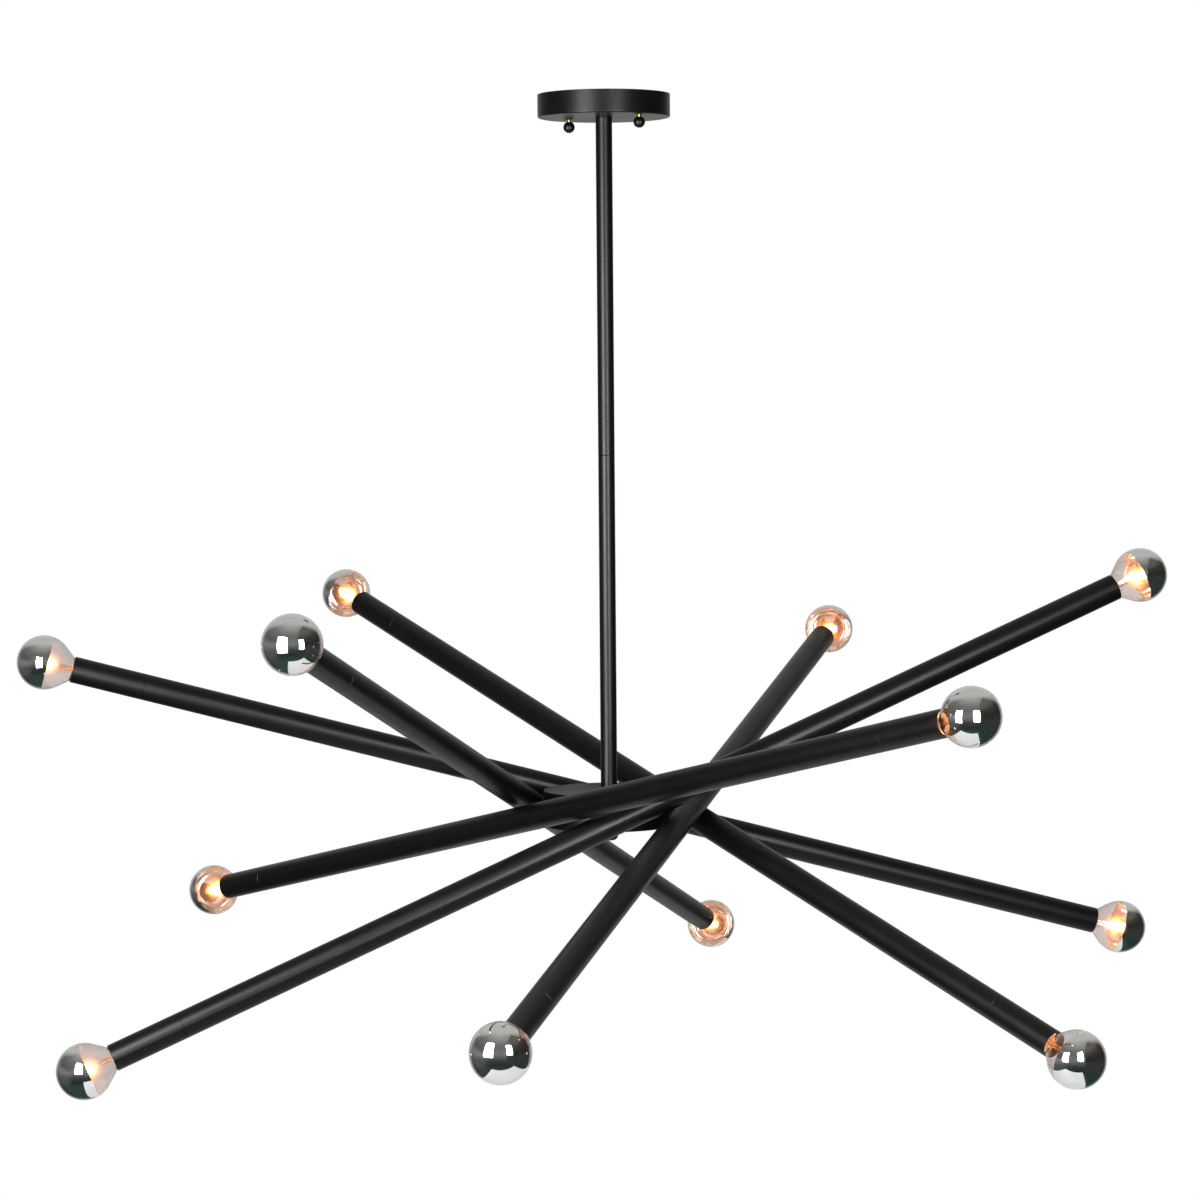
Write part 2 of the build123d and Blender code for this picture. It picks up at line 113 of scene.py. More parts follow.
# Softboxes: name, metres to the camera's right and ahead of it, height, width and height, radiance
SOFTBOXES = [
    ("softbox_left", -0.75, 2.2, -0.45, (0.62, 0.95), 35.0),
    ("softbox_right", 0.55, 2.0, -0.42, (0.42, 0.74), 35.0),
]
OVERHEAD_HEIGHT = 2.0
OVERHEAD_SIZE = (2.4, 2.4)
OVERHEAD_RADIANCE = 1.5

# Finishes
NOISE_RANGE = (0.3, 0.7)  # a noise pattern's values mostly lie between these
FINE_RELIEF = 0.01 * MM
PAINT_ROUGHNESS = (0.34, 0.40)
PAINT_SPECULAR = 0.18
CLEAN_CELLS = 0.8  # share of the pattern's cells without a speck of dust
CHIPPED_RIM = -1.2 * MM  # paint is chipped between this height and the canopy's rim

# Canopy screws
SCREW_CHAMFER = 0.4 * MM
SCREW_PITCH = 0.7 * MM
SCREW_THREAD_DEPTH = 0.38 * MM
SCREW_THREAD_STEPS = 8  # rows of points to a turn
SCREW_SIDES = 24

# Meshes
SHARP_ANGLE = math.radians(40)  # edges sharper than this aren't smoothed over
ON_AXIS = 1e-7  # a point of an outline this near to the axis is a pole

# A lamp's heights run along its axis from the globe's centre, with the cap below it

# Lamps: glass and silvering
LAMP_TURN = math.radians(137.5)  # each lamp is screwed in to another angle
GLOBE_SIDES = 96
GLASS_WALL = 0.8 * MM
GLASS_IOR = 1.47
NECK_TAPER = math.radians(39.0)  # between the drawn-down glass and the lamp's axis
NECK_FLARE = 5.0 * MM
NECK_STEPS = 8
SILVER_EDGE = -3.0 * MM  # the silvering reaches this far past the globe's centre
SILVER_GAP = 0.03 * MM
SILVER_THICKNESS = 0.06 * MM

# Lamps: screw cap
CAP_WALL_SHARE = 0.99  # points this near to a cap's full radius are on its wall
TIP_SLICE = 0.1 * MM  # points this near to a cap's end are on its tip
CAP_SHEET = 0.45 * MM
CAP_FIT = 0.1 * MM
CAP_THREAD_PITCH = 2.54 * MM
CAP_THREAD_DEPTH = 0.42 * MM
CAP_THREAD_STEPS = 12  # rows of points to a turn
CAP_PLAIN_RIM = 2.2 * MM
CAP_ROLL = 0.6 * MM  # the shell's lower edge is rolled in by this much
CAP_SIDES = 48
INSULATOR_INSET = 0.7 * MM  # black glass under the shell, from the inside of the shell's wall
INSULATOR_EDGE = (1.0 * MM, 0.9 * MM)  # how far its edge lies inside the shell's wall and below it
INSULATOR_LEDGE = 0.4 * MM  # it stands out this far round the solder tip
TIP_GAP = 0.02 * MM
TIP_EDGE = 0.6 * MM  # height of the tip's straight side
TIP_CROWN = [(0.75, 0.4 * MM), (0.35, 0.0)]  # shares of the tip's radius and heights on its rounded end
TIP_SIDES = 32

# Lamps: glass stem and wires
STEM_RADIUS = 2.1 * MM
STEM_TOP = -14.0 * MM
STEM_SIDES = 32
STEM_STEPS = 6
STEM_IOR = 1.12  # low, so that the filament's mirror image doesn't whiten it
STEM_ROUGHNESS = 0.4
FOOT_EDGE = 0.6 * MM  # straight rim of the stem's flared foot
FOOT_SWEEP = 3.1 * MM  # height of the centre of the sweep from that rim into the stem
PRESS_LENGTH = 5.0 * MM
PRESS_STEP = 0.5 * MM  # between rows of points along the press
PRESS_EASE = 2.0 * MM  # length over which the round stem passes into its flat press
PRESS_WIDENING = 0.3
PRESS_THINNING = 0.4
WIRE_SINK = 1.0 * MM  # wires start this deep in the glass
LEAD_RADIUS = 0.25 * MM
LEAD_SPACING = 2.0 * MM
LEAD_RISE = 2.0 * MM  # straight part above the stem
LEAD_BOW = 1.05  # below the filament's end a lead stands at this share of its distance from the axis
LEAD_BEND = (-3.0 * MM, 0.2 * MM)  # heights from the filament's foot between which it does
LEAD_HOOK = (0.8, 1.2 * MM)  # share and height at which its end holds the filament
LEAD_SIDES = 8
LEAD_STEPS = 6
# painted light: the leads' emission stands in for the filament's light on them
LEAD_PAINTED_GLOW_REACH = 30.8 * MM  # the leads shine to this distance from the globe's centre
SUPPORT_RADIUS = 0.14 * MM
SUPPORT_LOOP = 0.9 * MM
SUPPORT_TURNS = (0.0, 1.2, 2.4, 3.6, 4.8)  # angles of the loop's corners
SUPPORT_BEND = 4.0 * MM  # it leaves the axis this far below the filament's foot
SUPPORT_REACH = 2.0 * MM  # and is at the loop's radius this far below the loop
SUPPORT_STEPS = 5
WIRE_SIDES = 6

# Lamps: filament and light
FILAMENT_SPAN = 10.0 * MM
FILAMENT_FOOT = -6.0 * MM
FILAMENT_RISE = 2.4 * MM
COIL_RADIUS = 0.55 * MM
COIL_WIRE_RADIUS = 0.17 * MM
COIL_TURNS = 26
COIL_STEPS = 10  # points to a turn
FILAMENT_STRENGTH = 8.0
GLOW_RADIUS = 24.0 * MM
GLOW_CORE = 9000.0  # emission to the metre at the filament
GLOW_FALLOFF = 9.5  # power of the nearness to it
GLOW_HAZE = 10.0  # emission of the wide faint part
GLOW_SIDES = 32
LAMP_POWER = 0.6  # watts of light that falls on the tube's mouth and the parts near it
LAMP_COLOUR = (1.0, 0.42, 0.13)
LAMP_LIGHT_RADIUS = 3.0 * MM


# Materials


def new_material(name):
    """An empty node material with a Principled shader. Returns it, its tree and the shader."""
    material = bpy.data.materials.new(name)
    material.use_nodes = True
    tree = material.node_tree
    return material, tree, tree.nodes["Principled BSDF"]


def add(tree, kind, **settings):
    """A new shader node with its properties set."""
    node = tree.nodes.new(kind)
    for name, value in settings.items():
        setattr(node, name, value)
    return node


def object_place(tree):
    """Coordinates that stay on the piece when it moves, in metres."""
    return add(tree, "ShaderNodeTexCoord").outputs["Object"]


def noise(tree, place, per_metre, detail=3.0, roughness=0.55):
    """Cloudy pattern with so many features to the metre."""
    node = add(tree, "ShaderNodeTexNoise")
    node.inputs["Scale"].default_value = per_metre
    node.inputs["Detail"].default_value = detail
    node.inputs["Roughness"].default_value = roughness
    tree.links.new(place, node.inputs["Vector"])
    return node.outputs["Fac"]


def ramp(tree, factor, stops):
    """Colours along a factor, from (place, colour) stops."""
    node = add(tree, "ShaderNodeValToRGB")
    elements = node.color_ramp.elements
    while len(elements) < len(stops):
        elements.new(0.5)
    for element, (place, colour) in zip(elements, stops):
        element.position = place
        element.color = (*colour, 1.0)
    tree.links.new(factor, node.inputs["Fac"])
    return node.outputs["Color"]


def spread(tree, factor, low, high, start=NOISE_RANGE[0], end=NOISE_RANGE[1]):
    """A factor's range from start to end, stretched to run from low to high."""
    node = add(tree, "ShaderNodeMapRange")
    node.inputs["From Min"].default_value = start
    node.inputs["From Max"].default_value = end
    node.inputs["To Min"].default_value = low
    node.inputs["To Max"].default_value = high
    tree.links.new(factor, node.inputs["Value"])
    return node.outputs["Result"]


def tone(tree, cloud, dark, light):
    """Colour between a dark and a light one, by a noise pattern."""
    return ramp(tree, cloud, [(NOISE_RANGE[0], dark), (NOISE_RANGE[1], light)])


def mix_colour(tree, factor, first, second):
    """One colour passing into another by a factor."""
    node = add(tree, "ShaderNodeMix", data_type="RGBA")
    tree.links.new(factor, node.inputs["Factor"])
    for socket, value in ((node.inputs["A"], first), (node.inputs["B"], second)):
        if isinstance(value, tuple):
            socket.default_value = (*value, 1.0)
        else:
            tree.links.new(value, socket)
    return node.outputs["Result"]


def math_node(tree, operation, first, second):
    """Arithmetic on a socket and a number or another socket."""
    node = add(tree, "ShaderNodeMath", operation=operation)
    tree.links.new(first, node.inputs[0])
    if isinstance(second, (int, float)):
        node.inputs[1].default_value = second
    else:
        tree.links.new(second, node.inputs[1])
    return node.outputs["Value"]


def from_centre(tree, place):
    """Distance from the piece's own origin."""
    node = add(tree, "ShaderNodeVectorMath", operation="LENGTH")
    tree.links.new(place, node.inputs[0])
    return node.outputs["Value"]


def along(tree, direction, way):
    """How far a direction points along a way."""
    node = add(tree, "ShaderNodeVectorMath", operation="DOT_PRODUCT")
    node.inputs[1].default_value = way
    tree.links.new(direction, node.inputs[0])
    return node.outputs["Value"]


def bump(tree, shader, height, depth, strength=1.0):
    """Fine relief of a real depth in metres."""
    node = add(tree, "ShaderNodeBump")
    node.inputs["Distance"].default_value = depth
    node.inputs["Strength"].default_value = strength
    tree.links.new(height, node.inputs["Height"])
    tree.links.new(node.outputs["Normal"], shader.inputs["Normal"])


def specks(tree, place, per_metre, size):
    """Sparse round specks: 1 inside a speck, 0 elsewhere. Size is a share of the cells' width."""
    cells = add(tree, "ShaderNodeTexVoronoi")
    cells.inputs["Scale"].default_value = per_metre
    tree.links.new(place, cells.inputs["Vector"])
    picked = add(tree, "ShaderNodeSeparateColor")
    tree.links.new(cells.outputs["Color"], picked.inputs["Color"])
    near = math_node(tree, "LESS_THAN", cells.outputs["Distance"], size)
    dusty = math_node(tree, "GREATER_THAN", picked.outputs["Red"], CLEAN_CELLS)
    return math_node(tree, "MULTIPLY", near, dusty)


def chipped(tree, place, colour, low):
    """Paint that shows what lies under it in patches, more and more from a low height up to 0."""
    height = add(tree, "ShaderNodeSeparateXYZ")
    tree.links.new(place, height.inputs["Vector"])
    at_rim = spread(tree, height.outputs["Z"], 0, 1, low, 0)
    patches = spread(tree, noise(tree, place, 160, detail=4), 0, 1, 0.60, 0.68)
    chips = math_node(tree, "MULTIPLY", at_rim, patches)
    return mix_colour(tree, chips, colour, (0.36, 0.17, 0.05))


def black_paint(name="black_paint", chipped_above=None):
    """Satin black powder coat: cloudy gloss, fine orange peel, a little dust."""
    material, tree, shader = new_material(name)
    place = object_place(tree)
    cloud = noise(tree, place, 45, detail=5)
    colour = tone(tree, cloud, (0.0030, 0.0030, 0.0034), (0.0050, 0.0048, 0.0050))
    colour = mix_colour(tree, specks(tree, place, 90, 0.035), colour, (0.11, 0.105, 0.10))
    if chipped_above is not None:
        colour = chipped(tree, place, colour, chipped_above)
    tree.links.new(colour, shader.inputs["Base Color"])
    gloss = noise(tree, place, 28, detail=4, roughness=0.6)
    tree.links.new(spread(tree, gloss, *PAINT_ROUGHNESS), shader.inputs["Roughness"])
    shader.inputs["Specular IOR Level"].default_value = PAINT_SPECULAR
    bump(tree, shader, noise(tree, place, 900, detail=2), FINE_RELIEF, 0.2)
    return material


def metal(name, dark, light, rough, per_metre):
    """Bare metal with a faint uneven tarnish and fine scratches."""
    material, tree, shader = new_material(name)
    place = object_place(tree)
    tarnish = noise(tree, place, per_metre, detail=6, roughness=0.65)
    tree.links.new(tone(tree, tarnish, dark, light), shader.inputs["Base Color"])
    tree.links.new(spread(tree, tarnish, rough + 0.12, rough), shader.inputs["Roughness"])
    shader.inputs["Metallic"].default_value = 1.0
    bump(tree, shader, noise(tree, place, per_metre * 14, detail=2), FINE_RELIEF, 0.4)
    return material


def moulding(name, dark, light, rough):
    """Moulded plastic, ceramic or glass that shows no light through."""
    material, tree, shader = new_material(name)
    place = object_place(tree)
    cloud = noise(tree, place, 240, detail=4)
    tree.links.new(tone(tree, cloud, dark, light), shader.inputs["Base Color"])
    tree.links.new(spread(tree, cloud, rough, rough + 0.1), shader.inputs["Roughness"])
    bump(tree, shader, noise(tree, place, 1500, detail=2), FINE_RELIEF, 0.3)
    return material


def clear_glass(name, dark, light, rough=0.0, ior=GLASS_IOR):
    """Glass with the faintest smoky unevenness."""
    material, tree, shader = new_material(name)
    cloud = noise(tree, object_place(tree), 60, detail=3)
    tree.links.new(tone(tree, cloud, dark, light), shader.inputs["Base Color"])
    shader.inputs["Roughness"].default_value = rough
    shader.inputs["IOR"].default_value = ior
    shader.inputs["Transmission Weight"].default_value = 1.0
    return material


def silvering(name, dark, light, rough, metallic):
    """Mirror coat, with the slight clouding of evaporated metal."""
    material, tree, shader = new_material(name)
    cloud = noise(tree, object_place(tree), 110, detail=4)
    tree.links.new(tone(tree, cloud, dark, light), shader.inputs["Base Color"])
    tree.links.new(spread(tree, cloud, rough + 0.01, rough), shader.inputs["Roughness"])
    shader.inputs["Metallic"].default_value = metallic
    return material


def hot_wire():
    """Filament at white heat, a little cooler in places."""
    material, tree, shader = new_material("filament")
    cloud = noise(tree, object_place(tree), 700, detail=2)
    heat = tone(tree, cloud, (1.0, 0.52, 0.18), (1.0, 0.72, 0.36))
    tree.links.new(heat, shader.inputs["Emission Color"])
    shader.inputs["Emission Strength"].default_value = FILAMENT_STRENGTH
    shader.inputs["Base Color"].default_value = (0.12, 0.11, 0.10, 1.0)
    shader.inputs["Roughness"].default_value = 0.6
    return material


def lead_wire():
    """Nickel wire with a painted orange glow near the filament, standing in for the filament's light on it."""
    material, tree, shader = new_material("lead_wire")
    place = object_place(tree)
    cloud = noise(tree, place, 900, detail=3)
    colour = tone(tree, cloud, (0.50, 0.44, 0.38), (0.68, 0.62, 0.56))
    tree.links.new(colour, shader.inputs["Base Color"])
    tree.links.new(spread(tree, cloud, 0.25, 0.40), shader.inputs["Roughness"])
    shader.inputs["Metallic"].default_value = 1.0
    # painted light: orange emission, strongest near the globe's centre, stands in for the filament's light on the
    # wires
    painted_glow_nearness = spread(tree, from_centre(tree, place), 1.0, 0.0, 0.0, LEAD_PAINTED_GLOW_REACH)
    glow = ramp(tree, painted_glow_nearness, [(0.0, (0.5, 0.10, 0.02)), (1.0, (1.0, 0.36, 0.08))])
    tree.links.new(glow, shader.inputs["Emission Color"])
    shader.inputs["Emission Strength"].default_value = 1.0
    return material


def filament_glow():
    """Soft orange light round the filament, brightest at its middle."""
    material, tree, shader = new_material("filament_glow")
    tree.nodes.remove(shader)
    nearness = spread(tree, from_centre(tree, object_place(tree)), 1.0, 0.0, 0.0, GLOW_RADIUS)
    volume = add(tree, "ShaderNodeVolumePrincipled")
    volume.inputs["Density"].default_value = 0.0
    heat = [(0.0, (1.0, 0.27, 0.06)), (0.7, (1.0, 0.22, 0.03)), (1.0, (1.0, 0.50, 0.22))]
    tree.links.new(ramp(tree, nearness, heat), volume.inputs["Emission Color"])
    core = math_node(tree, "MULTIPLY", math_node(tree, "POWER", nearness, GLOW_FALLOFF), GLOW_CORE)
    haze = math_node(tree, "MULTIPLY", nearness, GLOW_HAZE)
    tree.links.new(math_node(tree, "ADD", core, haze), volume.inputs["Emission Strength"])
    tree.links.new(volume.outputs["Volume"], tree.nodes["Material Output"].inputs["Volume"])
    return material


# Mesh making


def arc(centre, radius, start, end, steps):
    """Points of an arc in a half outline, angles in radians from the axis-square direction."""
    angles = [start + (end - start) * step / steps for step in range(steps + 1)]
    return [(centre[0] + radius * math.cos(a), centre[1] + radius * math.sin(a)) for a in angles]


def bridge(bm, first, second, material):
    """Faces between two rings of the same turning, either of which may be a single pole."""
    count = max(len(first), len(second))
    for step in range(count):
        after = (step + 1) % count
        corners = [first[step % len(first)], first[after % len(first)]]
        corners += [second[after % len(second)], second[step % len(second)]]
        face = bm.faces.new(list(dict.fromkeys(corners)))
        face.smooth = True
        face.material_index = material


def lathe(bm, outline, segments, material=0, swell=None, closed=False):
    """Turns an outline of (radius, height) points round Z. Swell adds to the radius by height and angle."""
    rings = []
    for radius, height in outline:
        if radius < ON_AXIS:
            rings.append([bm.verts.new((0.0, 0.0, height))])
            continue
        ring = []
        for step in range(segments):
            angle = math.tau * step / segments
            reach = radius + (swell(height, angle) if swell else 0.0)
            ring.append(bm.verts.new((reach * math.cos(angle), reach * math.sin(angle), height)))
        rings.append(ring)
    if closed:
        rings.append(rings[0])
    for first, second in zip(rings, rings[1:]):
        bridge(bm, first, second, material)
    return rings


def tube(bm, points, radius, sides, material=0):
    """Round wire along points, with closed ends."""
    points = [Vector(p) for p in points]
    ahead = (points[1] - points[0]).normalized()
    side = ahead.orthogonal().normalized()
    rings = []
    for index, point in enumerate(points):
        before, after = points[max(index - 1, 0)], points[min(index + 1, len(points) - 1)]
        turned = (after - before).normalized()
        side = ahead.rotation_difference(turned) @ side
        ahead = turned
        up = ahead.cross(side)
        angles = [math.tau * step / sides for step in range(sides)]
        offsets = [radius * (math.cos(a) * side + math.sin(a) * up) for a in angles]
        rings.append([bm.verts.new(point + offset) for offset in offsets])
    for first, second in zip(rings, rings[1:]):
        bridge(bm, first, second, material)
    for ring in (rings[0], rings[-1]):
        bm.faces.new(ring).material_index = material


def smooth_path(corners, steps):
    """Points on quadratic curves that start and end at the first and last corner and round the others."""
    corners = [Vector(c) for c in corners]
    middles = [(a + b) / 2 for a, b in zip(corners, corners[1:])]
    path = [corners[0]]
    for start, bend, end in zip(middles, corners[1:-1], middles[1:]):
        for step in range(steps + 1):
            t = step / steps
            path.append(start * (1 - t) ** 2 + bend * 2 * t * (1 - t) + end * t**2)
    return path + [corners[-1]]


def eased(value, start, end):
    """0 before start, 1 after end, with a smooth passage between them."""
    t = min(max((value - start) / (end - start), 0.0), 1.0)
    return t * t * (3 - 2 * t)


def thread(pitch, depth, low, high):
    """Swell of a rounded screw thread that is cut into a rod between two heights and runs out at both."""

    def swell(height, angle):
        wave = 0.5 - 0.5 * math.cos(math.tau * height / pitch - angle)
        runout = eased(height, low, low + pitch / 2) * (1 - eased(height, high - pitch / 2, high))
        return -depth * wave * runout

    return swell


def heights(start, end, step):
    """Even heights from start to end, at most a step apart."""
    count = max(1, math.ceil(abs(end - start) / step))
    return [start + (end - start) * i / count for i in range(count + 1)]


def piece(name, bm, body, materials, place=Matrix.Identity(4), replaced=()):
    """Turns a bmesh into an object that rides on a body and stands for the named CAD nodes."""
    bm.transform(place.to_3x3().to_4x4())
    bmesh.ops.recalc_face_normals(bm, faces=bm.faces)
    mesh = bpy.data.meshes.new(name)
    bm.to_mesh(mesh)
    bm.free()
    mesh.set_sharp_from_angle(angle=SHARP_ANGLE)
    for material in materials:
        mesh.materials.append(material)
    made = bpy.data.objects.new(name, mesh)
    bpy.context.scene.collection.objects.link(made)
    made.location = place.translation
    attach(made, body)
    if replaced:
        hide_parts(*replaced)
    return made


# Lamps


def span(points, direction):
    """Least and greatest reach of points along a direction."""
    reaches = [p.dot(direction) for p in points]
    return min(reaches), max(reaches)


class Lamp:
    """Where a lamp is and what it measures, read from its CAD nodes and its unscrewing axis."""

    def __init__(self, body, turn):
        self.body = body
        axis = next(Vector(j["axis"]) for j in frame["joints"] if j["child"] == body).normalized()
        glass = [v.co for v in nodes[f"{body}_globe"].data.vertices]
        side = axis.orthogonal().normalized()
        other = axis.cross(side)
        side_span, other_span, axis_span = span(glass, side), span(glass, other), span(glass, axis)
        self.radius = (side_span[1] - side_span[0]) / 2
        across = side * sum(side_span) / 2 + other * sum(other_span) / 2
        centre = across + axis * (axis_span[1] - self.radius)
        turned = Matrix((side, other, axis)).transposed() @ Matrix.Rotation(turn, 3, "Z")
        self.place = Matrix.Translation(centre) @ turned.to_4x4()
        self.neck_end = axis_span[0] - centre.dot(axis)
        base = [v.co - centre for v in nodes[f"{body}_base"].data.vertices]
        reach = [((p - axis * p.dot(axis)).length, p.dot(axis)) for p in base]
        self.cap_radius = max(r for r, _ in reach)
        wall = [height for r, height in reach if r > CAP_WALL_SHARE * self.cap_radius]
        self.cap_rim, self.cap_cone = max(wall), min(wall)
        self.cap_tip = min(height for _, height in reach)
        self.tip_radius = max(r for r, height in reach if height < self.cap_tip + TIP_SLICE)
        self.neck_radius = self.cap_radius - CAP_SHEET - CAP_FIT


def globe_outline(lamp, inset):
    """Half outline of the glass from the tip of the globe to the end of the neck."""
    flare_x = lamp.neck_radius + NECK_FLARE
    flare_z = (flare_x * math.cos(NECK_TAPER) - lamp.radius - NECK_FLARE) / math.sin(NECK_TAPER)
    crown = arc((0, 0), lamp.radius - inset, math.pi / 2, -NECK_TAPER, GLOBE_SIDES // 2)
    flare = arc((flare_x, flare_z), NECK_FLARE + inset, math.pi - NECK_TAPER, math.pi, NECK_STEPS)
    neck = [(lamp.neck_radius - inset, lamp.neck_end)]
    return [(0.0, crown[0][1])] + crown[1:] + flare + neck


def glass_envelope(lamp, looks):
    """Blown globe with its neck, outside and inside. The half that isn't silvered is a little smoky."""
    bm = bmesh.new()
    lathe(bm, globe_outline(lamp, 0.0) + globe_outline(lamp, GLASS_WALL)[::-1], GLOBE_SIDES)
    for face in bm.faces:
        face.material_index = int(face.calc_center_median().z < SILVER_EDGE)
    finishes = [looks["front_glass"], looks["glass"]]
    stands_for = [f"{lamp.body}_globe"]
    globe = piece(f"{lamp.body}_glass", bm, lamp.body, finishes, lamp.place, stands_for)
    globe.visible_shadow = False


def silver_bowl(lamp, looks):
    """Mirror coat on the inside of the glass, over the half away from the cap."""
    outside = lamp.radius - GLASS_WALL - SILVER_GAP
    inside = outside - SILVER_THICKNESS
    bm = bmesh.new()
    skins = []
    for radius, material in ((outside, 0), (inside, 1)):
        edge = math.asin(SILVER_EDGE / radius)
        outline = [(0.0, radius)] + arc((0, 0), radius, math.pi / 2, edge, GLOBE_SIDES // 2)[1:]
        skins.append(lathe(bm, outline, GLOBE_SIDES, material))
    bridge(bm, skins[0][-1], skins[1][-1], 0)
    finishes = [looks["silver"], looks["silver_back"]]
    piece(f"{lamp.body}_silvering", bm, lamp.body, finishes, lamp.place)


def stem_outline(lamp):
    """Half outline of the glass stem, from under its flared foot to its top."""
    foot = lamp.neck_radius - GLASS_WALL - CAP_FIT
    low = lamp.neck_end + CAP_FIT
    crown = STEM_TOP - STEM_RADIUS
    outline = [(0.0, low), (foot, low), (foot, low + FOOT_EDGE)]
    outline += arc((foot, low + FOOT_SWEEP), foot - STEM_RADIUS, -math.pi / 2, -math.pi, STEM_STEPS)[1:]
    outline += [(STEM_RADIUS, z) for z in heights(STEM_TOP - PRESS_LENGTH, crown, PRESS_STEP)]
    outline += arc((0, crown), STEM_RADIUS, 0, math.pi / 2, STEM_STEPS)[1:-1]
    return outline + [(0.0, STEM_TOP)]


def flatten_press(bm):
    """Squeezes the upper part of a round stem flat, as the hot glass is pressed onto the leads."""
    press_foot = STEM_TOP - PRESS_LENGTH
    for vert in bm.verts:
        flat = eased(vert.co.z, press_foot, press_foot + PRESS_EASE)
        vert.co.x *= 1 + PRESS_WIDENING * flat
        vert.co.y *= 1 - PRESS_THINNING * flat


def lead_corners(lamp, side):
    """Corners of a lead's way from below the stem to its end of the filament."""
    x = side * LEAD_SPACING / 2
    tip = side * FILAMENT_SPAN / 2
    low = lamp.neck_end + CAP_FIT - WIRE_SINK
    corners = [(x, 0, low), (x, 0, STEM_TOP - WIRE_SINK), (x, 0, STEM_TOP + LEAD_RISE)]
    corners += [(LEAD_BOW * tip, 0, FILAMENT_FOOT + height) for height in LEAD_BEND]
    return corners + [(LEAD_HOOK[0] * tip, 0, FILAMENT_FOOT + LEAD_HOOK[1])]


def support_corners():
    """Corners of the support's way from the press to a loop round the filament."""
    crest = FILAMENT_FOOT + FILAMENT_RISE
    loop = [(SUPPORT_LOOP * math.sin(a), SUPPORT_LOOP * math.cos(a), crest) for a in SUPPORT_TURNS]
    corners = [(0, 0, STEM_TOP - WIRE_SINK), (0, 0, FILAMENT_FOOT - SUPPORT_BEND)]
    return corners + [(0, SUPPORT_LOOP, crest - SUPPORT_REACH)] + loop


def lamp_mount(lamp, looks):
    """Glass stem with its flared foot and flattened press, the leads and the filament's support."""
    bm = bmesh.new()
    lathe(bm, stem_outline(lamp), STEM_SIDES)
    flatten_press(bm)
    for side in (-1, 1):
        tube(bm, smooth_path(lead_corners(lamp, side), LEAD_STEPS), LEAD_RADIUS, LEAD_SIDES, 1)
    tube(bm, smooth_path(support_corners(), SUPPORT_STEPS), SUPPORT_RADIUS, WIRE_SIDES, 1)
    finishes = [looks["stem_glass"], looks["lead"]]
    piece(f"{lamp.body}_mount", bm, lamp.body, finishes, lamp.place)


def filament(lamp, looks):
    """Coiled wire that arches from lead to lead."""
    points = []
    for step in range(COIL_TURNS * COIL_STEPS + 1):
        share = 2 * step / (COIL_TURNS * COIL_STEPS) - 1
        slope = math.atan(-4 * FILAMENT_RISE * share / FILAMENT_SPAN)
        angle = math.tau * step / COIL_STEPS
        rise = COIL_RADIUS * math.cos(angle)
        x = share * FILAMENT_SPAN / 2 - rise * math.sin(slope)
        z = FILAMENT_FOOT + FILAMENT_RISE * (1 - share**2) + rise * math.cos(slope)
        points.append((x, COIL_RADIUS * math.sin(angle), z))
    bm = bmesh.new()
    tube(bm, points, COIL_WIRE_RADIUS, WIRE_SIDES)
    piece(f"{lamp.body}_filament", bm, lamp.body, [looks["filament"]], lamp.place)


def glow(lamp, looks):
    """Round the filament, a ball of soft light and the lamp's own light source."""
    bm = bmesh.new()
    round_side = arc((0, 0), GLOW_RADIUS, math.pi / 2, -math.pi / 2, GLOW_SIDES // 2)[1:-1]
    lathe(bm, [(0.0, GLOW_RADIUS)] + round_side + [(0.0, -GLOW_RADIUS)], GLOW_SIDES)
    heart = lamp.place @ Matrix.Translation((0, 0, FILAMENT_FOOT + FILAMENT_RISE / 2))
    ball = piece(f"{lamp.body}_glow", bm, lamp.body, [looks["glow"]], heart)
    ball.visible_diffuse = False
    ball.visible_shadow = False
    light = bpy.data.lights.new(f"{lamp.body}_light", "POINT")
    light.energy = LAMP_POWER
    light.color = LAMP_COLOUR
    light.shadow_soft_size = LAMP_LIGHT_RADIUS
    source = bpy.data.objects.new(f"{lamp.body}_light", light)
    bpy.context.scene.collection.objects.link(source)
    source.matrix_world = heart
    source.visible_camera = False
    source.visible_glossy = False
    source.visible_transmission = False
    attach(source, lamp.body)


def cap_shell(bm, lamp):
    """Rolled brass screw shell, open at both ends."""
    radius, cone = lamp.cap_radius, lamp.cap_cone
    swell = thread(CAP_THREAD_PITCH, CAP_THREAD_DEPTH, cone, lamp.cap_rim - CAP_PLAIN_RIM)
    rows = heights(lamp.cap_rim, cone, CAP_THREAD_PITCH / CAP_THREAD_STEPS)
    shell = [(radius, z) for z in rows] + [(radius - CAP_ROLL, cone - CAP_ROLL)]
    inner = [(r - CAP_SHEET, z) for r, z in shell[::-1]]
    lathe(bm, shell + inner, CAP_SIDES, 0, swell, closed=True)


def cap_end(bm, lamp):
    """Black glass below the shell, and the solder tip under it."""
    radius, cone = lamp.cap_radius, lamp.cap_cone
    shoulder = lamp.cap_tip + (cone - lamp.cap_tip) / 2
    inset, drop = INSULATOR_EDGE
    glass = [(radius - CAP_SHEET - INSULATOR_INSET, cone), (radius - inset, cone - drop)]
    glass += [(lamp.tip_radius + INSULATOR_LEDGE, shoulder)]
    lathe(bm, [(0.0, cone)] + glass + [(0.0, shoulder)], CAP_SIDES, 1)
    top = shoulder - TIP_GAP
    tip = [(0.0, top), (lamp.tip_radius, top), (lamp.tip_radius, top - TIP_EDGE)]
    tip += [(share * lamp.tip_radius, lamp.cap_tip + height) for share, height in TIP_CROWN]
    lathe(bm, tip + [(0.0, lamp.cap_tip)], TIP_SIDES, 2)


